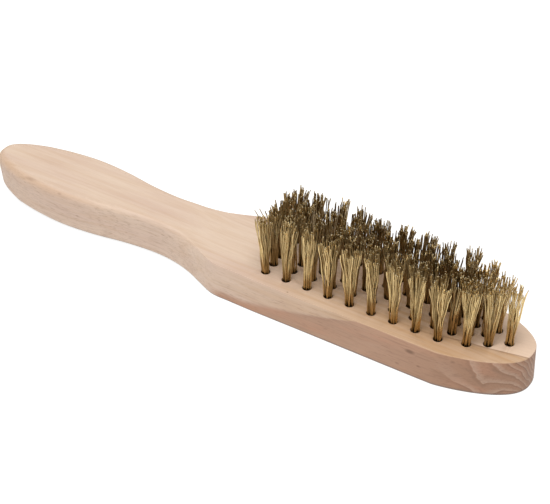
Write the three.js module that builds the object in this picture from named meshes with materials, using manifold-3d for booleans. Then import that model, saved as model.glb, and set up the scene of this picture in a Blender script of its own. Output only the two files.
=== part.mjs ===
// Hand wire brush: a one-piece beech body, handle and block in one, with five rows of brass wire tufts.
// Millimetres. X runs along the brush with the toe at +X and the handle at -X, Y runs across it, and the
// brush lies on its flat back at Z = 0 with its wires pointing up. The origin is under the middle.
// Distances "along" are counted from the handle's end, and Z = 0 is the back of the wood.

import * as THREE from "three";
import { mergeVertices } from "three/addons/utils/BufferGeometryUtils.js";
import Module from "manifold-3d";

const wasm = await Module();
wasm.setup();

// Driving dimensions
const LENGTH = 285;
const BLOCK_THICKNESS = 17.5;
const HANDLE_RISE = 2.2;
const TRIM_HEIGHT = 28;

// Plan outline: half widths along the body, between a blunt butt and a bluntly pointed toe
const BUTT_LENGTH = 20;
const BUTT_POWER = 0.39;
const TOE_LENGTH = 36;
const TOE_CURVE = 1.25;
const TOE_POWER = 0.42;
const HALF_WIDTHS = [
  [BUTT_LENGTH, 14.3],
  [32, 16.3],
  [48, 17.3],
  [66, 15.9],
  [84, 13.0],
  [100, 11.9],
  [112, 13.0],
  [121, 15.2],
  [130, 18.8],
  [138, 21.8],
  [147, 22.2],
  [160, 22.5],
  [184, 22.5],
  [224, 22.7],
  [240, 22.75],
  [LENGTH - TOE_LENGTH, 22.7],
];
const BUTT_STEPS = 8;
const SIDE_STEPS = 36;
const TOE_STEPS = 14;

// The handle stands proud of the block's face and its edges are eased; both run out past the shoulder
const RISE_START = 104;
const RISE_END = 134;
const RISE_STEPS = 8;
const EASED_EDGE = 4;
const EDGE_STEPS = 3;
const EASED_UNTIL = 134;
const EASED_RUN_OUT = 0.055;
const SPARE_SLOPE = 0.4;
const SPARE_WOOD = 12;

// Tufts: straight rows from the heel on, then single holes that close in to the toe
const FIRST_TUFT = 161.5;
const STRAIGHT_TUFTS = 9;
const ROWS = [
  { name: "centre", across: 0, pitch: 10.88, toe: [[262.2, 0], [273, 0]] },
  { name: "inner", across: 6.75, pitch: 10, toe: [[249.5, 6.6], [256, 3.4], [265.6, 5.2]] },
  { name: "outer", across: 13.5, pitch: 10.6, toe: [[257.8, 10]] },
];
const HOLE_RADIUS = 2.1;
const HOLE_DEPTH = 12;
const HOLE_SIDES = 10;
const GAP = 0.35;
const TUFT_SIDES = 8;
const TUFT_TOP_RADIUS = 2.9;
const TUFT_CROWN = 1.5;

const wood = new THREE.MeshStandardMaterial({ color: 0xe3c4a1, roughness: 0.7, metalness: 0 });
const brass = new THREE.MeshStandardMaterial({ color: 0xb8954f, roughness: 0.4, metalness: 1 });

// A closed three.js geometry as a manifold-3d solid
function solidOf(geometry) {
  const bare = geometry.index ? geometry.toNonIndexed() : geometry.clone();
  bare.deleteAttribute("normal");
  bare.deleteAttribute("uv");
  const merged = mergeVertices(bare, 1e-3);
  const mesh = new wasm.Mesh({
    numProp: 3,
    vertProperties: merged.attributes.position.array,
    triVerts: new Uint32Array(merged.index.array),
  });
  return new wasm.Manifold(mesh);
}

// A manifold-3d solid as a three.js geometry with flat faces
function geometryOf(solid) {
  const mesh = solid.getMesh();
  const geometry = new THREE.BufferGeometry();
  geometry.setAttribute("position", new THREE.BufferAttribute(mesh.vertProperties, 3));
  geometry.setIndex(new THREE.BufferAttribute(mesh.triVerts, 1));
  const flat = geometry.toNonIndexed();
  flat.computeVertexNormals();
  return flat;
}

// One side of the plan outline, from the butt's tip to the toe's tip: x along, y half width
function sideOutline() {
  const points = [];
  const [, buttWidth] = HALF_WIDTHS[0];
  for (let step = 0; step < BUTT_STEPS; step++) {
    const share = (step / BUTT_STEPS) ** 2;
    points.push(new THREE.Vector2(BUTT_LENGTH * share, buttWidth * share ** BUTT_POWER));
  }
  const side = new THREE.SplineCurve(HALF_WIDTHS.map(([along, half]) => new THREE.Vector2(along, half)));
  points.push(...side.getPoints(SIDE_STEPS));
  const [toeStart, toeWidth] = HALF_WIDTHS.at(-1);
  for (let step = 1; step <= TOE_STEPS; step++) {
    const share = Math.sin((step / TOE_STEPS) * (Math.PI / 2));
    const half = toeWidth * (1 - share ** TOE_CURVE) ** TOE_POWER;
    points.push(new THREE.Vector2(toeStart + TOE_LENGTH * share, step === TOE_STEPS ? 0 : half));
  }
  return points;
}

// A closed symmetric shape from one side's points
function mirrored(side) {
  const other = side.filter((point) => point.y > 0).reverse();
  return new THREE.Shape([...side, ...other.map((point) => new THREE.Vector2(point.x, -point.y))]);
}

// The plan from the heel to the toe, left wide over the handle
function blockPlan(side) {
  const wide = side.map(({ x, y }) => new THREE.Vector2(x, y + SPARE_SLOPE * Math.max(0, EASED_UNTIL - x)));
  return mirrored([new THREE.Vector2(-SPARE_WOOD, wide[0].y), ...wide]);
}

// The plan of the handle, widening slowly past the block's sides so that its eased edge runs out there
function handlePlan(side) {
  const kept = side.filter((point) => point.x <= LENGTH - TOE_LENGTH);
  const wide = kept.map(({ x, y }) => new THREE.Vector2(x, y + EASED_RUN_OUT * Math.max(0, x - EASED_UNTIL)));
  const last = wide.at(-1);
  const farEnd = LENGTH + SPARE_WOOD;
  const farHalf = last.y + EASED_RUN_OUT * (farEnd - last.x);
  return mirrored([...wide, new THREE.Vector2(farEnd, farHalf)]);
}

// The wood seen from the side: flat back, handle top, and the slope down to the block's face
function sideProfile() {
  const high = BLOCK_THICKNESS + HANDLE_RISE;
  const points = [new THREE.Vector2(-SPARE_WOOD, 0), new THREE.Vector2(LENGTH + SPARE_WOOD, 0)];
  points.push(new THREE.Vector2(LENGTH + SPARE_WOOD, BLOCK_THICKNESS));
  for (let step = RISE_STEPS; step >= 0; step--) {
    const share = step / RISE_STEPS;
    const fall = (1 - Math.cos(share * Math.PI)) / 2;
    const along = RISE_START + share * (RISE_END - RISE_START);
    points.push(new THREE.Vector2(along, high - HANDLE_RISE * fall));
  }
  points.push(new THREE.Vector2(-SPARE_WOOD, high));
  return new THREE.Shape(points);
}

// Places of all tufts: name, distance along, distance across
function tuftPlaces() {
  const places = [];
  for (const { name, across, pitch, toe } of ROWS) {
    const straight = Array.from({ length: STRAIGHT_TUFTS }, (_, i) => [FIRST_TUFT + i * pitch, across]);
    const sides = across === 0 ? [["", 1]] : [["near_", -1], ["far_", 1]];
    for (const [label, sign] of sides) {
      [...straight, ...toe].forEach(([along, off], i) => {
        const number = String(i + 1).padStart(2, "0");
        places.push({ name: `tuft_${name}_${label}${number}`, x: along - LENGTH / 2, y: sign * off });
      });
    }
  }
  return places;
}

function bodyGeometry(places) {
  const high = BLOCK_THICKNESS + HANDLE_RISE;
  const side = sideOutline();
  const block = new THREE.ExtrudeGeometry(blockPlan(side), { depth: high, bevelEnabled: false });
  const handle = new THREE.ExtrudeGeometry(handlePlan(side), {
    depth: high - 2 * EASED_EDGE,
    bevelEnabled: true,
    bevelThickness: EASED_EDGE,
    bevelSize: EASED_EDGE,
    bevelOffset: -EASED_EDGE,
    bevelSegments: EDGE_STEPS,
  });
  handle.translate(0, 0, EASED_EDGE);
  const reach = 4 * SPARE_WOOD;
  const profile = new THREE.ExtrudeGeometry(sideProfile(), { depth: 2 * reach, bevelEnabled: false });
  profile.rotateX(Math.PI / 2);
  profile.translate(0, reach, 0);
  let body = solidOf(block).intersect(solidOf(handle)).intersect(solidOf(profile));
  body = body.translate([-LENGTH / 2, 0, 0]);
  for (const { x, y } of places) {
    const hole = new THREE.CylinderGeometry(HOLE_RADIUS, HOLE_RADIUS, 2 * HOLE_DEPTH, HOLE_SIDES);
    hole.rotateX(Math.PI / 2);
    hole.translate(x, y, BLOCK_THICKNESS);
    body = body.subtract(solidOf(hole));
  }
  return geometryOf(body);
}

// One tuft: straight in its hole, then spreading a little to a slightly crowned end
function tuftGeometry() {
  const rootRadius = HOLE_RADIUS * Math.cos(Math.PI / HOLE_SIDES) - GAP;
  const top = BLOCK_THICKNESS + TRIM_HEIGHT;
  const profile = [
    new THREE.Vector2(0, BLOCK_THICKNESS - HOLE_DEPTH + GAP),
    new THREE.Vector2(rootRadius, BLOCK_THICKNESS - HOLE_DEPTH + GAP),
    new THREE.Vector2(rootRadius, BLOCK_THICKNESS + GAP),
    new THREE.Vector2(TUFT_TOP_RADIUS, top - TUFT_CROWN),
    new THREE.Vector2(0, top),
  ];
  const tuft = new THREE.LatheGeometry(profile, TUFT_SIDES);
  tuft.rotateX(Math.PI / 2);
  return tuft;
}

function buildBrush() {
  const brush = new THREE.Group();
  const places = tuftPlaces();
  const body = new THREE.Mesh(bodyGeometry(places), wood);
  body.name = "wood_body";
  brush.add(body);
  for (const { name, x, y } of places) {
    const tuft = new THREE.Mesh(tuftGeometry(), brass);
    tuft.name = name;
    tuft.position.set(x, y, 0);
    brush.add(tuft);
  }
  return brush;
}

export default buildBrush();
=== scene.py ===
"""A hand wire brush: one beech body with its handle, and brass wire tufts in drilled holes.

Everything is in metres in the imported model's frame: the toe is at +X, the handle at -X, and the
brush lies on its flat back at Z = 0 with its wires pointing up.
"""

import math
import random

import bmesh
import bpy
import numpy as np
from mathutils import Matrix, Vector


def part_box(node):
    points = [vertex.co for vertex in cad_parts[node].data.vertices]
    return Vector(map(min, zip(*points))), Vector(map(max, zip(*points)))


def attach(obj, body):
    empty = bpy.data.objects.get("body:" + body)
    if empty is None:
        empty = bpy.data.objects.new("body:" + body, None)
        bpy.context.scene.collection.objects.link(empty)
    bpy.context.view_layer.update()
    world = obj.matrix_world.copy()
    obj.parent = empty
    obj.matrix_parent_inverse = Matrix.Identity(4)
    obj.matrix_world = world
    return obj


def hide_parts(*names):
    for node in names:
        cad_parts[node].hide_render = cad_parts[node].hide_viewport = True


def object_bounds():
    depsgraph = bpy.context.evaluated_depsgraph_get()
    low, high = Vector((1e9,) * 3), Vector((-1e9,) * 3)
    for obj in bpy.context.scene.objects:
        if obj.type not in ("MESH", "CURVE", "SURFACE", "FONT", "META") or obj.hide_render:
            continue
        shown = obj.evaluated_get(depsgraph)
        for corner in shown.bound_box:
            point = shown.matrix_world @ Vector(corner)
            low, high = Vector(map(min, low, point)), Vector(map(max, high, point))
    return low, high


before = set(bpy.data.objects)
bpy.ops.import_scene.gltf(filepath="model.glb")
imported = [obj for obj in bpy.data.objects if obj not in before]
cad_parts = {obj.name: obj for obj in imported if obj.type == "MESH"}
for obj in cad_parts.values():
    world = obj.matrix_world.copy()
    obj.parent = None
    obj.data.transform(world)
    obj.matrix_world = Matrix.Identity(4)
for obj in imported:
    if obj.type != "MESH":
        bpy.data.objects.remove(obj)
cad_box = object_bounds()

MM = 0.001

# The body, from the frame
BODY_LOW, BODY_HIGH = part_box("wood_body")
LENGTH = (BODY_HIGH.x - BODY_LOW.x) / MM
HANDLE_TOP = BODY_HIGH.z / MM
TUFT_NODES = sorted(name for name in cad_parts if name.startswith("tuft_"))

# The body's plan: half widths in millimetres at distances from the handle's end
BUTT_LENGTH = 20
BUTT_POWER = 0.39
TOE_LENGTH = 36
TOE_CURVE, TOE_POWER = 1.25, 0.42
HALF_WIDTHS = [
    (BUTT_LENGTH, 14.3),
    (32, 16.3),
    (48, 17.3),
    (66, 15.9),
    (84, 13.0),
    (100, 11.9),
    (112, 13.0),
    (121, 15.2),
    (130, 18.8),
    (138, 21.8),
    (147, 22.2),
    (160, 22.5),
    (184, 22.5),
    (224, 22.7),
    (240, 22.75),
    (LENGTH - TOE_LENGTH, 22.7),
]
BUTT_STEPS, SIDE_STEPS, TOE_STEPS = 22, 110, 34

# The handle stands a little proud of the block's face
HANDLE_RISE = 2.2
FACE = HANDLE_TOP - HANDLE_RISE
RISE_START, RISE_END = 104, 134

# The upper edges, in millimetres: rounded over on the handle, then a sanded facet that runs out along
# the block. A reach inwards and a depth each, at the butt, on the handle and at the heel.
BUTT_IN, BUTT_DOWN = 3.6, 4.2
BUTT_START, BUTT_END = 12, 62
ROUND_IN, ROUND_DOWN = 2.3, 3.2
HEEL, HEEL_IN, HEEL_DOWN = 140, 1.0, 15.6
FADE_START, RUN_OUT, FADE_POWER = 155, 212, 0.85
CRISP = 0.35
FACET_FLATNESS = 0.5
ROUND_STEPS = 8

# The wall, in millimetres: it leans in towards the toe, and tucks in under the butt
LEAN_IN, LEAN_START, LEAN_END = 0.9, 180, 225
TUCK_IN, TUCK_START, TUCK_END = 1.0, 4, 24
LEAST_WALL = 1
WALL_STEPS, WALL_FOOT, WALL_TALL = 4, 0.2, 16

# The back's edge, in millimetres: its radius, a flat strip inside it, and the painted shade line just
# above it
BACK_BUTT, BACK_ROUND, BACK_CRISP = 4.6, 3.2, 0.8
SUPPORT = 0.5
SHADE_FROM = 0.2
UNDER_START, UNDER_END = 0.35, 1.1

# Where the sawn side begins, and where the butt's eased edge stops being darker with painted shade
RAW_START, RAW_END = HEEL - 4, HEEL + 4
EASED_START, EASED_END = 30, 90
WOOD_CREASE = math.radians(32)

# The wood's marks, one attribute each, and its growth rings in millimetres: their pitch, the last and
# the strong one, how they lie across the face, lean with height, and bend towards the toe, and where
# along the body the wood's colour changes
MARKS = ("sanded", "side", "end_grain", "eased", "under", "bored")
RING_PITCH = 1.85
LAST_RING = -7.5
STRONG_RING = -2.1
RING_MIDDLE, RING_SLOPE = 8.4, 0.87
RING_TILT, TIP_TILT, TILT_START, TILT_END = 0.1, 0.4, 270, 282
BEND, BEND_START, BEND_END = 7.6, 240, 288
STRONG_START, STRONG_END = 225, 250
TIP_START, TIP_END = 255, 269
# The block's face turns warmer here: its own colour, with painted reflection from the brass and painted
# shade from the tufts
WARM_START, WARM_END = 142, 225
RUSSET_START, RUSSET_END = 222, 262

# Small stains in the wood, in millimetres from the brush's middle: place, reach and strength
BLOTS = [
    ((95.4, -22.0, 12.7), (3.0, 2.0, 1.3), 1.2),
    ((90.3, -22.5, 4.2), (1.4, 1.5, 0.7), 0.6),
    ((100.0, -22.2, 6.9), (1.2, 1.5, 0.7), 0.8),
    ((114.3, -20.3, 14.6), (1.4, 1.5, 0.8), 0.6),
    ((34.6, -20.8, 17.5), (0.6, 0.5, 0.5), 0.8),
    ((-113, -14.5, 19.0), (4.5, 1.2, 1.2), 0.35),
    ((-94, -16.3, 18.5), (1.6, 0.8, 0.8), 0.4),
]

# Holes, in millimetres: the drill tears the fibres at the mouth a little
HOLE_RADIUS = 2.1
HOLE_DEPTH = 12
HOLE_SIDES = 20
HOLE_CHAMFER = 0.06
TORN = 0.4
MOUTH_LIFT = 4 * HOLE_CHAMFER
NEAR_HOLE, BELOW_FACE = 1.4, 1.1
MOUTH_SHADE = 0.6

# Wires, in millimetres: each tuft is made of locks, and each lock of a few wires
WIRE_RADIUS = 0.225
WIRE_SIDES = 5
WIRE_STEPS = 11
WIRE_CREASE = math.radians(80)
SLANT = 0.6
LOCKS_IN_TUFT = 15
WIRES_IN_LOCK = 3
WIRES_IN_TUFT = LOCKS_IN_TUFT * WIRES_IN_LOCK
ROOT_DEPTH = 3
ROOT_SPREAD = 1.68
TIP_SPREAD, LEAST_SPREAD, MOST_SPREAD = 3.9, 0.85, 1.2
TRIM_UNDER, TRIM_SPREAD, TRIM_MOST = 0.2, 0.8, 2.4
TRIM_HEIGHT = cad_box[1].z / MM - FACE
ROOT_SHARE = ROOT_DEPTH / (ROOT_DEPTH + TRIM_HEIGHT)

# How tufts lean along the brush, in millimetres at their tips
TUFT_LEAN = 0.6
HEEL_LEAN = -0.7
FAR_LEAN, FAR_ROW = 1.4, 13
TOE_LEAN, TOE_START, TOE_END = 1.0, 235, 275

# How much painted shade dulls the wires at the least in the inner and far rows, how much painted light
# brightens them at the toe, how much of a tone a lock shares, and how far above the wood the wires carry
# painted wood reflection and shade
ROW_SHADE_INSIDE, ROW_SHADE_FAR, INSIDE = 0.38, 0.5, 10
TOE_PAINTED_LIGHT = 0.3
LOCK_TONE = 0.3
ROOT_REFLECTION_TALL = 13

# How locks and wires stray: turns in radians, waves counted over a wire's height, sizes in millimetres
GOLDEN_TURN = 2.4
LOCK_TURN_STRAY, TIP_TURN_STRAY = 0.25, 0.6
TIP_KEEPS = 0.6
TIP_STRAY = 0.5
LOCK_BENDS = (1.1, 1.9)
LOCK_WAVES, LOCK_WAVE_SIZES = (1.2, 2.4), (0.15, 0.45)
LOCK_RADIUS = 0.42
WIRE_TWIST = 2
WIRE_PLACES = (0.5, 1.0)
PARTING, PARTING_MORE, PARTING_POWER = 0.75, (0.2, 2.2), 1.5
WIRE_WAVES, WIRE_WAVE_SIZES = (2.2, 3.6), (0.03, 0.12)
LOOSE_CHANCE, LOOSE_STRAY, WIRE_STRAY = 0.08, 1.5, 0.15
FREE_FROM = 3


def deselect_all():
    """Leaves no object selected."""
    for thing in bpy.context.selected_objects:
        thing.select_set(False)


def ease(value, start, end):
    """0 before start and 1 after end, with a smooth change between."""
    share = min(1, max(0, (value - start) / (end - start)))
    return share * share * (3 - 2 * share)


def through(points, x):
    """A smooth curve through points, read at x."""
    xs = [p[0] for p in points]
    ys = [p[1] for p in points]
    slopes = [(ys[1] - ys[0]) / (xs[1] - xs[0])]
    for i in range(1, len(points) - 1):
        slopes.append((ys[i + 1] - ys[i - 1]) / (xs[i + 1] - xs[i - 1]))
    slopes.append((ys[-1] - ys[-2]) / (xs[-1] - xs[-2]))
    i = max(j for j in range(len(points) - 1) if xs[j] <= x or j == 0)
    step = xs[i + 1] - xs[i]
    t = (x - xs[i]) / step
    rest = 1 - t
    return (
        ys[i] * (1 + 2 * t) * rest * rest
        + slopes[i] * step * t * rest * rest
        + ys[i + 1] * t * t * (3 - 2 * t)
        - slopes[i + 1] * step * t * t * rest
    )


def side_outline():
    """One side of the plan from the butt's tip to the toe's tip: (distance along, half width)."""
    points = []
    for step in range(BUTT_STEPS):
        share = (step / BUTT_STEPS) ** 2
        points.append((BUTT_LENGTH * share, HALF_WIDTHS[0][1] * share**BUTT_POWER))
    first, last = HALF_WIDTHS[0][0], HALF_WIDTHS[-1][0]
    for step in range(SIDE_STEPS + 1):
        x = first + (last - first) * step / SIDE_STEPS
        points.append((x, through(HALF_WIDTHS, min(x, last))))
    for step in range(1, TOE_STEPS + 1):
        share = math.sin(step / TOE_STEPS * math.pi / 2)
        half = HALF_WIDTHS[-1][1] * max(0, 1 - share**TOE_CURVE) ** TOE_POWER
        points.append((last + TOE_LENGTH * share, 0 if step == TOE_STEPS else half))
    return points


def plan_loop():
    """The whole plan outline and its inward normals, anticlockwise from above, as two arrays."""
    near = side_outline()
    far = [(x, -y) for x, y in near[1:-1]]
    loop = np.array([(x, -y) for x, y in near] + [(x, -y) for x, y in reversed(far)])
    along = np.roll(loop, -1, 0) - np.roll(loop, 1, 0)
    inward = np.stack([-along[:, 1], along[:, 0]], 1)
    inward /= np.linalg.norm(inward, axis=1, keepdims=True)
    return loop, inward


def face_height(x):
    """Height of the upper face at a distance from the handle's end."""
    return HANDLE_TOP - HANDLE_RISE * ease(x, RISE_START, RISE_END)


def edge_sizes(x):
    """How far the upper edge's rounding reaches in and down, and the lower edge's radius."""
    fade = max(0, min(1, (RUN_OUT - x) / (RUN_OUT - FADE_START))) ** FADE_POWER
    heel = ease(x, RISE_START, HEEL)
    butt = 1 - ease(x, BUTT_START, BUTT_END)
    inset = ROUND_IN + (BUTT_IN - ROUND_IN) * butt
    inset = max(CRISP, (inset + (HEEL_IN - inset) * heel) * fade)
    down = ROUND_DOWN + (BUTT_DOWN - ROUND_DOWN) * butt
    down = max(CRISP, (down + (HEEL_DOWN - down) * heel) * fade)
    back = BACK_ROUND + (BACK_BUTT - BACK_ROUND) * butt
    back += (BACK_CRISP - back) * ease(x, RISE_START, HEEL)
    return inset, down, back


def rim_rings():
    """The rings from the back's inner edge up the side to the face: (kind, share of that part)."""
    rings = [("back", -1)]
    rings += [("back", step / ROUND_STEPS) for step in range(ROUND_STEPS + 1)]
    rings += [("wall", step / WALL_STEPS) for step in (WALL_FOOT, *range(1, WALL_STEPS))]
    rings += [("face", 1 - step / ROUND_STEPS) for step in range(ROUND_STEPS + 1)]
    return rings + [("face", -1)]


def rim_point(point, inward, kind, share):
    """Place of one outline point on one ring, in metres."""
    x, y = point
    inset, down, back = edge_sizes(x)
    top = face_height(x)
    down = min(down, top - back - LEAST_WALL)
    turn = max(share, 0) * math.pi / 2
    extra = SUPPORT if share < 0 else 0
    lean = LEAN_IN * ease(x, LEAN_START, LEAN_END)
    tuck = TUCK_IN * (1 - ease(x, TUCK_START, TUCK_END))
    if kind == "back":
        off = back * (1 - math.sin(turn)) + tuck + extra
        z = back * (1 - math.cos(turn))
    elif kind == "wall":
        off = tuck * (1 - share) + lean * share
        z = back + (top - down - back) * share
    else:
        drop = 1 - math.cos(turn)
        facet = FACET_FLATNESS * ease(x, RISE_START, HEEL)
        off = inset * ((1 - facet) * (1 - math.sin(turn)) + facet * (1 - drop)) + lean + extra
        z = top - down * drop
    return Vector((x + inward[0] * off - LENGTH / 2, y + inward[1] * off, z)) * MM


def surface_marks(x, inward, kind, share):
    """What the wood's finish and its painted shade depend on at a point of the rim, each from 0 to 1."""
    flat = share < 0
    rounded = 1 if kind == "wall" else 1 - math.cos(max(0, share) * math.pi / 2)
    lift = edge_sizes(x)[2] * (rounded - SHADE_FROM)
    if kind == "wall":
        lift += WALL_TALL * share
    side = 0 if flat else 1 if kind != "face" else share
    raw = ease(x, RAW_START, RAW_END) if side == 1 else 0
    return {
        "sanded": 1 - raw,
        "side": side,
        "end_grain": side * inward[0] ** 2,
        "eased": math.sin(math.pi * side) * (1 - ease(x, EASED_START, EASED_END)),
        # Painted shade on the rounded lower edge, fading out just above it
        "under": 0 if flat or kind == "face" else 1 - ease(lift, UNDER_START, UNDER_END),
    }


def raised_plan(loop, inward):
    """The body without its holes, raised ring by ring from its back."""
    count = len(loop)
    deselect_all()
    bpy.ops.mesh.primitive_circle_add(vertices=count, radius=LENGTH / 2 * MM, fill_type="NGON")
    body = bpy.context.object
    body.name = "beech_body"
    spot = body.data.attributes.new("spot", "INT", "POINT")
    spot.data.foreach_set("value", list(range(count)))
    for mark in MARKS:
        body.data.attributes.new(mark, "FLOAT", "POINT")
    bpy.ops.object.mode_set(mode="EDIT")
    bpy.ops.mesh.select_all(action="SELECT")
    rings = rim_rings()
    for number, (kind, share) in enumerate(rings):
        if number > 0:
            bpy.ops.mesh.extrude_region_move()
        shape = bmesh.from_edit_mesh(body.data)
        spots = shape.verts.layers.int["spot"]
        for vertex in shape.verts:
            if vertex.select:
                i = vertex[spots]
                vertex.co = rim_point(loop[i], inward[i], kind, share)
                for mark, value in surface_marks(loop[i][0], inward[i], kind, share).items():
                    vertex[shape.verts.layers.float[mark]] = value
        bmesh.update_edit_mesh(body.data)
    join_across(body, loop, count)
    bpy.ops.mesh.select_all(action="SELECT")
    bpy.ops.mesh.normals_make_consistent(inside=False)
    bpy.ops.object.mode_set(mode="OBJECT")
    return body


def join_across(body, loop, count):
    """Splits the face between opposite points along the slope from the handle to the block."""
    for i in range(1, count // 2):
        if not RISE_START - 3 <= loop[i][0] <= RISE_END + 3:
            continue
        bpy.ops.mesh.select_all(action="DESELECT")
        bpy.ops.mesh.select_mode(type="VERT")
        shape = bmesh.from_edit_mesh(body.data)
        spots = shape.verts.layers.int["spot"]
        for opposite in (i, count - i):
            same = [v for v in shape.verts if v[spots] == opposite]
            max(same, key=lambda v: (round(v.co.z, 6), -abs(v.co.y))).select_set(True)
        shape.select_flush_mode()
        bmesh.update_edit_mesh(body.data)
        bpy.ops.mesh.vert_connect()


def drill(x, y, chance):
    """One drill-shaped cutter with a small chamfer and a ragged edge at its mouth."""
    low, mouth = FACE - HOLE_DEPTH, FACE - HOLE_CHAMFER
    deselect_all()
    bpy.ops.mesh.primitive_cylinder_add(
        vertices=HOLE_SIDES,
        radius=HOLE_RADIUS * MM,
        depth=(mouth - low) * MM,
        location=(x, y, (mouth + low) / 2 * MM),
    )
    cutter = bpy.context.object
    bpy.ops.object.mode_set(mode="EDIT")
    shape = bmesh.from_edit_mesh(cutter.data)
    for face in shape.faces:
        face.select_set(face.normal.z > 0.9)
    bmesh.update_edit_mesh(cutter.data)
    bpy.ops.mesh.extrude_region_move(TRANSFORM_OT_translate={"value": (0, 0, MOUTH_LIFT * MM)})
    for vertex in shape.verts:
        if vertex.select:
            out = MOUTH_LIFT + TORN * chance.random() ** 3
            vertex.co += (vertex.co.xy.normalized() * out * MM).to_3d()
    bmesh.update_edit_mesh(cutter.data)
    bpy.ops.object.mode_set(mode="OBJECT")
    bpy.ops.object.transform_apply(location=True, rotation=True, scale=True)
    return cutter


def joined(objects):
    """All the objects as one."""
    deselect_all()
    for thing in objects:
        thing.select_set(True)
    bpy.context.view_layer.objects.active = objects[0]
    bpy.ops.object.join()
    return objects[0]


def mark_bores(body, places):
    """Marks what lies below the mouths of the holes for their painted shade, and the sanded face round
    them.
    """
    middles = np.array(places)
    points = np.array([vertex.co[:] for vertex in body.data.vertices])
    apart = np.linalg.norm(points[:, None, :2] - middles[None], axis=2).min(axis=1)
    depth = FACE * MM - points[:, 2]
    near = (apart < NEAR_HOLE * HOLE_RADIUS * MM) & (depth < BELOW_FACE * HOLE_DEPTH * MM)
    finish = {"sanded": 1, "side": 0, "end_grain": 0, "eased": 0, "under": 0}
    # Painted shade: part way at the mouth's chamfer, full deeper in the hole
    mouth = MOUTH_SHADE * (depth > HOLE_CHAMFER / 2 * MM)
    finish["bored"] = np.where(depth > HOLE_DEPTH / 2 * MM, 1.0, mouth)
    for mark, there in finish.items():
        values = np.zeros(len(points))
        body.data.attributes[mark].data.foreach_get("value", values)
        values = np.where(near, there, values)
        body.data.attributes[mark].data.foreach_set("value", values)


def make_body(places, chance):
    """The beech body with a hole drilled at each place."""
    loop, inward = plan_loop()
    body = raised_plan(loop, inward)
    cutter = joined([drill(x, y, chance) for x, y in places])
    deselect_all()
    bpy.context.view_layer.objects.active = body
    body.select_set(True)
    cut = body.modifiers.new("holes", "BOOLEAN")
    cut.operation = "DIFFERENCE"
    cut.solver = "EXACT"
    cut.object = cutter
    bpy.ops.object.modifier_apply(modifier=cut.name)
    bpy.data.objects.remove(cutter)
    mark_bores(body, places)
    bpy.ops.object.shade_smooth_by_angle(angle=WOOD_CREASE)
    return body


def straight_wire():
    """A straight wire of unit radius and unit height: its points, faces and height shares."""
    deselect_all()
    bpy.ops.mesh.primitive_cylinder_add(vertices=WIRE_SIDES, radius=1, depth=1, location=(0, 0, 0.5))
    wire = bpy.context.object
    bpy.ops.object.transform_apply(location=True, rotation=True, scale=True)
    bpy.ops.object.mode_set(mode="EDIT")
    bpy.ops.mesh.select_mode(type="EDGE")
    bpy.ops.mesh.select_all(action="DESELECT")
    shape = bmesh.from_edit_mesh(wire.data)
    for edge in shape.edges:
        low, high = sorted(v.co.z for v in edge.verts)
        edge.select_set(high - low > 0.5)
    bmesh.update_edit_mesh(wire.data)
    bpy.ops.mesh.subdivide(number_cuts=WIRE_STEPS - 1)
    bpy.ops.object.mode_set(mode="OBJECT")
    points = np.array([v.co[:] for v in wire.data.vertices])
    faces = [tuple(face.vertices) for face in wire.data.polygons]
    bpy.data.objects.remove(wire)
    return points, faces


def wave(heights, waves, size, chance):
    """A sideways wave in one direction, as offsets at the height shares."""
    turn = chance.uniform(0, 2 * math.pi)
    side = np.array((math.cos(turn), math.sin(turn)))
    return side * (np.sin((heights * waves + chance.random()) * 2 * math.pi) * size)[:, None]


def out_of_hole(heights):
    """0 up to the hole's mouth and 1 at the tip, at the height shares."""
    return np.clip((heights - ROOT_SHARE) / (1 - ROOT_SHARE), 0, 1)


def lock_path(chance, number, lean, spread, heights):
    """Offsets of one lock's centre line at its height shares, from its tuft's middle, in mm."""
    turn = number * GOLDEN_TURN + chance.gauss(0, LOCK_TURN_STRAY)
    reach = math.sqrt((number + chance.random()) / LOCKS_IN_TUFT)
    root = np.array((math.cos(turn), math.sin(turn))) * reach * ROOT_SPREAD
    stray = np.array((chance.gauss(0, TIP_STRAY), chance.gauss(0, TIP_STRAY)))
    tip_turn = turn + chance.gauss(0, TIP_TURN_STRAY)
    tip_reach = TIP_KEEPS * reach + (1 - TIP_KEEPS) * math.sqrt(chance.random())
    tip = np.array((math.cos(tip_turn), math.sin(tip_turn))) * tip_reach * spread + lean + stray
    share = out_of_hole(heights)
    path = root + (tip - root) * (share ** chance.uniform(*LOCK_BENDS))[:, None]
    waves = wave(heights, chance.uniform(*LOCK_WAVES), chance.uniform(*LOCK_WAVE_SIZES), chance)
    return path + waves * np.minimum(1, share * FREE_FROM)[:, None]


def wire_path(chance, lock, heights):
    """Offsets of one wire that winds along its lock and parts from it towards the tip, in mm."""
    share = out_of_hole(heights)
    turn = chance.uniform(0, 2 * math.pi) + chance.uniform(-WIRE_TWIST, WIRE_TWIST) * share
    reach = LOCK_RADIUS * chance.uniform(*WIRE_PLACES)
    reach = reach * (PARTING + chance.uniform(*PARTING_MORE) * share**PARTING_POWER)
    around = np.stack([np.cos(turn), np.sin(turn)], 1) * reach[:, None]
    stray = np.array((chance.gauss(0, 1), chance.gauss(0, 1)))
    stray = stray * (LOOSE_STRAY if chance.random() < LOOSE_CHANCE else WIRE_STRAY)
    small = wave(heights, chance.uniform(*WIRE_WAVES), chance.uniform(*WIRE_WAVE_SIZES), chance)
    small = small * np.minimum(1, share * FREE_FROM)[:, None]
    return lock + around + small + stray * (share**2)[:, None]


def painted_row_shade(across):
    """Painted shade: how much duller every wire of a tuft is at the least, from how far across the brush
    it stands.
    """
    if across > INSIDE:
        return ROW_SHADE_FAR
    return ROW_SHADE_INSIDE if across > -INSIDE else 0


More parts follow.
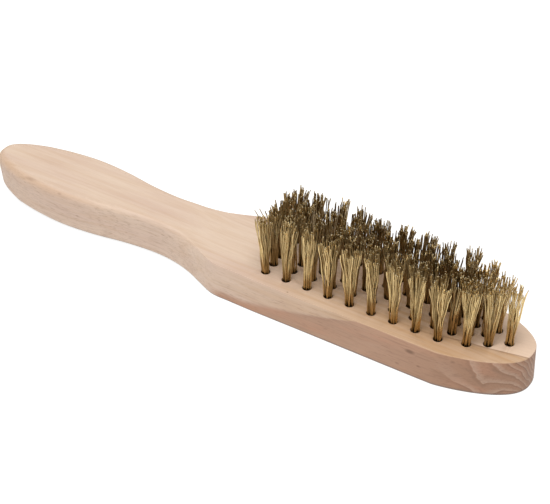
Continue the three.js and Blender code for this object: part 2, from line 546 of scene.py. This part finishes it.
def bundle(node, points, chance):
    """All the wires of one tuft: their points in metres, and one tone for each point."""
    low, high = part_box(node)
    centre = (low + high) / 2
    toe = ease(centre.x / MM + LENGTH / 2, TOE_START, TOE_END)
    lean = np.array((chance.gauss(HEEL_LEAN, TUFT_LEAN), chance.gauss(0, TUFT_LEAN)))
    lean[0] += FAR_LEAN * ease(centre.y / MM, 0, FAR_ROW) + TOE_LEAN * toe
    # Painted shade on the inner and far rows, none at the toe
    dull_and_shade = painted_row_shade(centre.y / MM) * (1 - toe)
    spread = TIP_SPREAD * chance.uniform(LEAST_SPREAD, MOST_SPREAD)
    root = FACE - ROOT_DEPTH
    heights = points[:, 2]
    wires, tones = [], []
    for number in range(WIRES_IN_TUFT):
        if number % WIRES_IN_LOCK == 0:
            lock = lock_path(chance, number // WIRES_IN_LOCK, lean, spread, heights)
            lock_tone = chance.random()
        tip = high.z / MM + min(TRIM_MOST, chance.gauss(-TRIM_UNDER, TRIM_SPREAD))
        offsets = wire_path(chance, lock, heights)
        slant = chance.uniform(-SLANT, SLANT) * (heights > 0.999)
        x = centre.x / MM + offsets[:, 0] + points[:, 0] * WIRE_RADIUS
        y = centre.y / MM + offsets[:, 1] + points[:, 1] * WIRE_RADIUS
        z = root + (tip - root) * heights + slant * points[:, 0] * WIRE_RADIUS
        wires.append(np.stack([x, y, z], 1) * MM)
        # A random tone for each lock and each wire, over the painted row shade
        tone = dull_and_shade + (1 - dull_and_shade) * (LOCK_TONE * lock_tone + (1 - LOCK_TONE) * chance.random())
        # Painted light: the tufts at the toe are brighter
        tones += [tone * (1 - TOE_PAINTED_LIGHT * toe)] * len(points)
    return np.concatenate(wires), tones


def make_tuft(node, wire, chance):
    """A bundle of separate wires in one hole, each with its own tone and its own painted glint where it is
    cut.
    """
    points, faces = wire
    places, tones = bundle(node, points, chance)
    starts = [number * len(points) for number in range(WIRES_IN_TUFT)]
    all_faces = [tuple(start + i for i in face) for start in starts for face in faces]
    mesh = bpy.data.meshes.new(node.replace("tuft", "wires"))
    mesh.from_pydata(places.tolist(), [], all_faces)
    tone = mesh.attributes.new("tone", "FLOAT", "POINT")
    tone.data.foreach_set("value", tones)
    top = int(np.argmax([points[list(face), 2].min() for face in faces]))
    cut = mesh.attributes.new("cut", "FLOAT", "FACE")
    glint_strengths = [chance.random() ** 2 for _ in starts]
    cut.data.foreach_set("value", [glint_strength * (i == top) for glint_strength in glint_strengths for i in range(len(faces))])
    mesh.update()
    tuft = bpy.data.objects.new(mesh.name, mesh)
    bpy.context.scene.collection.objects.link(tuft)
    deselect_all()
    bpy.context.view_layer.objects.active = tuft
    tuft.select_set(True)
    bpy.ops.object.shade_smooth_by_angle(angle=WIRE_CREASE)
    return tuft


class Value:
    """One output of a material's nodes. Arithmetic on it adds Math nodes."""

    def __init__(self, tree, socket=None):
        self.tree = tree
        self.socket = socket

    def node(self, kind, settings=None, inputs=None, output=0):
        """Any node, from its type, its settings, and the values or links of its sockets."""
        made = self.tree.nodes.new("ShaderNode" + kind)
        for name, setting in (settings or {}).items():
            if name == "stops":
                while len(made.color_ramp.elements) < len(setting):
                    made.color_ramp.elements.new(1)
                for element, (place, colour) in zip(made.color_ramp.elements, setting):
                    element.position = place
                    element.color = (*colour, 1)
            else:
                setattr(made, name, setting)
        for name, value in (inputs or {}).items():
            if isinstance(value, Value):
                self.tree.links.new(value.socket, made.inputs[name])
            else:
                made.inputs[name].default_value = value
        return Value(self.tree, made.outputs[output] if made.outputs else None)

    def maths(self, operation, *values):
        """One Math node on values or plain numbers."""
        return self.node("Math", {"operation": operation}, dict(enumerate(values)))

    def __add__(self, other):
        return self.maths("ADD", self, other)

    def __sub__(self, other):
        return self.maths("SUBTRACT", self, other)

    def __rsub__(self, other):
        return self.maths("SUBTRACT", other, self)

    def __mul__(self, other):
        return self.maths("MULTIPLY", self, other)

    def __truediv__(self, other):
        return self.maths("DIVIDE", self, other)

    __radd__ = __add__
    __rmul__ = __mul__

    def clamped(self, low, high):
        """0 at low and 1 at high, and held there beyond them."""
        return self.node("MapRange", inputs={"Value": self, "From Min": low, "From Max": high})

    def mixed(self, first, second):
        """Goes from colour first to colour second as this value goes from 0 to 1."""
        settings = {"data_type": "RGBA"}
        return self.node("Mix", settings, {0: self, 6: first, 7: second}, output=2)


def new_material(name):
    """A material with one surface shader: its start for nodes, and the shader's node."""
    material = bpy.data.materials.new(name)
    material.use_nodes = True
    tree = material.node_tree
    shader = next(n for n in tree.nodes if n.type == "BSDF_PRINCIPLED")
    return material, Value(tree), shader


def feed(shader, **values):
    """Links or sets the shader's sockets, named with _ for a space."""
    for name, value in values.items():
        socket = shader.inputs[name.replace("_", " ")]
        if isinstance(value, Value):
            value.tree.links.new(value.socket, socket)
        else:
            socket.default_value = value


def stretched_noise(start, place, scale, detail=2.0):
    """Noise with its own grain size along X, Y and Z: scale is in cycles per millimetre."""
    wide = start.node("VectorMath", {"operation": "MULTIPLY"}, {0: place, 1: Vector(scale) / MM})
    grain = {"Vector": wide, "Scale": 1.0, "Detail": detail}
    return start.node("TexNoise", inputs=grain)


def blot(place, middle, reach):
    """1 at a small mark's middle, fading to 0 at its reach along X, Y and Z, in millimetres."""
    away = place.node("VectorMath", {"operation": "SUBTRACT"}, {0: place, 1: Vector(middle) * MM})
    shares = place.node("VectorMath", {"operation": "DIVIDE"}, {0: away, 1: Vector(reach) * MM})
    length = place.node("VectorMath", {"operation": "LENGTH"}, {0: shares}, output=1)
    return 1 - length.clamped(0.2, 1)


def growth_rings(start, place, end_grain):
    """The rings: late wood, early wood, the year's strength, one strong ring and what lies beyond it."""
    x, y, z = [start.node("SeparateXYZ", inputs={0: place}, output=i) / MM for i in range(3)]
    along = x + LENGTH / 2
    slow = stretched_noise(start, place, (0.01, 0.03, 0.03), detail=1.0) - 0.5
    wavy = stretched_noise(start, place, (0.05, 0.13, 0.13), detail=2.0) - 0.5
    tilt = RING_TILT + TIP_TILT * along.clamped(TILT_START, TILT_END)
    bend = along.clamped(BEND_START, BEND_END) * BEND
    straight = y * RING_SLOPE + (z - FACE) * tilt + RING_MIDDLE - bend
    ring = straight + slow * 2 + wavy * (1.2 + 2.8 * end_grain)
    count = (ring - LAST_RING) / RING_PITCH
    number = count.maths("FLOOR", count)
    year = start.node("TexWhiteNoise", {"noise_dimensions": "1D"}, {"W": number})
    turn = count - number
    late = turn.clamped(0.2, 0.9) * 0.35 + turn.clamped(0.72, 0.9) * 0.65
    late = late * (1 - turn.clamped(0.93, 1.0))
    early = 1 - turn.clamped(0.0, 0.45)
    kinked = straight + wavy * 1.2
    strong = (kinked - STRONG_RING + 1.0).clamped(0, 0.9)
    strong = strong * (STRONG_RING + 0.12 - kinked).clamped(0, 0.2)
    beyond = (kinked - STRONG_RING).clamped(-0.1, 0.1)
    return along, late, early, year, strong, beyond


def beech():
    """Pale beech, sanded on its face and handle and browner where the sawn side was left."""
    material, start, shader = new_material("beech")
    place = start.node("TexCoord", output="Object")
    sanded, side, end_grain, eased, under, bored = [
        start.node("Attribute", {"attribute_name": mark}, output="Fac") for mark in MARKS
    ]
    raw = 1 - sanded
    along, late, early, year, strong, beyond = growth_rings(start, place, end_grain)

    streaks = stretched_noise(start, place, (0.022, 0.45, 0.45), detail=3.0)
    lines = stretched_noise(start, place, (0.08, 1.2, 1.2), detail=3.0)
    fibres = stretched_noise(start, place, (0.14, 3.0, 3.0), detail=2.0)
    patches = stretched_noise(start, place, (0.016, 0.08, 0.08), detail=2.0)
    rays = stretched_noise(start, place, (0.28, 2.0, 2.0), detail=1.0).clamped(0.6, 0.74)
    blotches = stretched_noise(start, place, (0.05, 0.2, 0.2), detail=3.0)
    reds = stretched_noise(start, place, (0.025, 0.16, 0.16), detail=2.0)

    cream = (0.605, 0.468, 0.360, 1)
    pale = (0.640, 0.470, 0.345, 1)
    tan = (0.445, 0.273, 0.148, 1)
    pink = (0.540, 0.395, 0.310, 1)
    brown = (0.380, 0.225, 0.145, 1)
    umber = (0.185, 0.096, 0.055, 1)
    rose = (0.470, 0.345, 0.265, 1)
    russet = (0.310, 0.168, 0.098, 1)
    painted_edge_shade = (0.130, 0.100, 0.085, 1)
    red = (0.420, 0.205, 0.120, 1)
    hole_shade = (0.120, 0.066, 0.030, 1)

    # Sanded wood: creamy on the handle, warmer along the block (its own colour, with painted reflection
    # from the brass and painted shade from the tufts), pale again past the strong ring at the toe
    tip = along.clamped(TIP_START, TIP_END) * beyond
    warm_and_brass_reflection = along.clamped(WARM_START, WARM_END) * (1 - tip) * sanded
    colour = patches.clamped(0.4, 0.7).mixed(cream, pink)
    colour = (side * 0.45).mixed(colour, pink)
    colour = (streaks.clamped(0.42, 0.75) * 0.32 + warm_and_brass_reflection * (0.5 + 0.5 * streaks)).mixed(colour, tan)
    # Painted shade: the rounded edge of the butt and handle is darker and tan
    colour = (eased * 0.4).mixed(colour, tan)
    colour = (tip * sanded).mixed(colour, pale)

    # The sawn side, browner towards the toe and reddish in patches
    colour = (raw * (0.75 + 0.5 * blotches)).mixed(colour, brown)
    colour = (raw * along.clamped(RUSSET_START, RUSSET_END) * 0.9).mixed(colour, russet)
    colour = (raw * reds.clamped(0.48, 0.68) * 0.5).mixed(colour, red)

    # Growth rings: plain on the sawn end grain, and hardly seen elsewhere but for the strong one
    end_cut = raw * end_grain.clamped(0.0, 0.12)
    depth = 0.05 + 0.12 * raw + 0.83 * end_cut
    colour = (early * end_cut * 0.45).mixed(colour, rose)
    colour = (late * (0.5 + 0.5 * year) * depth).mixed(colour, umber)
    colour = (strong * sanded * along.clamped(STRONG_START, STRONG_END) * 0.5).mixed(colour, umber)

    # Fine grain, and the short dark rays of beech
    depth = 0.05 + 0.07 * warm_and_brass_reflection + 0.22 * side + 0.1 * raw
    colour = (lines.clamped(0.48, 0.75) * depth).mixed(colour, umber)
    colour = (fibres.clamped(0.5, 0.8) * 0.12).mixed(colour, brown)
    colour = (rays * (0.05 + 0.3 * side)).mixed(colour, umber)

    # Stains, painted shade along the lower edge, and painted shade inside the drilled holes
    for middle, reach, strength in BLOTS:
        colour = (blot(place, middle, reach) * strength).mixed(colour, umber)
    # Painted shade along the lower edge
    colour = (under * 0.8).mixed(colour, painted_edge_shade)
    # Painted shade inside the holes
    colour = bored.mixed(colour, hole_shade)

    rough = 0.52 + 0.12 * fibres
    height = fibres * 0.4 + lines * 0.5 + streaks * 0.3 - rays * 0.3 + raw * blotches * 0.5
    bump = start.node("Bump", inputs={"Strength": 0.3, "Distance": 0.12 * MM, "Height": height})
    feed(shader, Base_Color=colour, Roughness=rough, Normal=bump)
    return material


def brass_wire():
    """Drawn brass wire, duller on some wires at random, with painted shade on the inner and far rows,
    painted reflection of the wood and shade towards their holes, and painted glints on the cut ends.
    """
    material, start, shader = new_material("brass_wire")
    place = start.node("TexCoord", output="Object")
    height = start.node("SeparateXYZ", inputs={0: place}, output=2) / MM
    tone = start.node("Attribute", {"attribute_name": "tone"}, output="Fac")
    spots = stretched_noise(start, place, (1.2, 1.2, 0.5))
    cut = start.node("Attribute", {"attribute_name": "cut"}, output="Fac")
    bright = (0.82, 0.63, 0.32, 1)
    dull_and_shade = (0.18, 0.108, 0.034, 1)
    root_reflection_shade = (0.46, 0.30, 0.10, 1)
    painted_glint = (0.88, 0.76, 0.50, 1)
    # Painted reflection of the wood and painted shade deep in the tuft, orange-brown towards the roots
    low = 1 - height.clamped(FACE, FACE + ROOT_REFLECTION_TALL)
    colour = (low * 0.7).mixed(bright, root_reflection_shade)
    # Duller brass: at random on some wires, and painted shade on the inner and far rows
    colour = (tone.clamped(0.3, 1.0) * 0.8 + spots.clamped(0.4, 0.7) * 0.2).mixed(colour, dull_and_shade)
    # Painted glints: the cut ends are paler and less metallic
    colour = cut.mixed(colour, painted_glint)
    rough = 0.2 + 0.12 * tone + 0.06 * spots
    feed(shader, Base_Color=colour, Roughness=rough, Metallic=1 - 0.6 * cut)
    return material


def pale_floor():
    """A plain floor that stays white, with the softest of shadows."""
    material, start, shader = new_material("floor")
    place = start.node("TexCoord", output="Object")
    mottle = start.node("TexNoise", inputs={"Vector": place, "Scale": 3.0})
    light_grey, dark_grey = (0.26, 0.26, 0.26, 1), (0.22, 0.22, 0.22, 1)
    feed(shader, Base_Color=(mottle * 0.05).mixed(light_grey, dark_grey), Roughness=0.9)
    feed(shader, Emission_Color=(1, 1, 1, 1), Emission_Strength=0.85)
    bpy.ops.mesh.primitive_plane_add(size=8)
    floor = bpy.context.object
    floor.name = "floor"
    floor.data.materials.append(material)


def soft_light(name, place, target, size, power):
    """A round soft lamp, turned to its target."""
    lamp = bpy.data.lights.new(name, "AREA")
    lamp.shape = "DISK"
    lamp.size = size
    lamp.energy = power
    light = bpy.data.objects.new(name, lamp)
    bpy.context.scene.collection.objects.link(light)
    light.location = place
    light.rotation_mode = "QUATERNION"
    light.rotation_quaternion = (Vector(target) - Vector(place)).to_track_quat("-Z", "Y")


def studio():
    """The floor, one big lamp above the near side, and even light all round."""
    pale_floor()
    soft_light("key", place=(0.0, -0.35, 1.3), target=(0, 0, 0), size=1.1, power=19)
    world = bpy.data.worlds.new("studio")
    bpy.context.scene.world = world
    world.use_nodes = True
    background = world.node_tree.nodes["Background"]
    background.inputs["Color"].default_value = (1, 1, 1, 1)
    background.inputs["Strength"].default_value = 0.5
    bpy.context.scene.view_settings.view_transform = "Standard"


def camera():
    """The camera: azimuth, elevation and roll in degrees, distance and offsets in metres."""
    azimuth, elevation, roll = math.radians(30.6), math.radians(37.25), math.radians(1.26)
    distance, aside, above = 0.6566, 0.01348, 0.00276
    target = Vector((0, 0, 0.0085))
    back = Vector((
        math.sin(azimuth) * math.cos(elevation),
        -math.cos(azimuth) * math.cos(elevation),
        math.sin(elevation),
    ))
    level = Vector((math.cos(azimuth), math.sin(azimuth), 0))
    right = Matrix.Rotation(roll, 3, back) @ level
    up = back.cross(right)
    lens = bpy.data.cameras.new("camera")
    lens.sensor_width = 36
    lens.lens = 93.55
    eye = bpy.data.objects.new("camera", lens)
    bpy.context.scene.collection.objects.link(eye)
    place = target + back * distance + right * aside + up * above
    turned = Matrix((right, up, back)).transposed().to_4x4()
    eye.matrix_world = Matrix.Translation(place) @ turned
    bpy.context.scene.camera = eye


def main():
    """Builds the brush: each visible piece rides the root body and stands in for its CAD node."""
    chance = random.Random(7)
    camera()
    studio()
    centres = [sum(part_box(node), Vector()) / 2 for node in TUFT_NODES]
    body = make_body([(centre.x, centre.y) for centre in centres], chance)
    body.data.materials.append(beech())
    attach(body, "root")
    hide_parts("wood_body")
    wire = straight_wire()
    brass = brass_wire()
    for node in TUFT_NODES:
        tuft = make_tuft(node, wire, chance)
        tuft.data.materials.append(brass)
        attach(tuft, "root")
        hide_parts(node)


main()
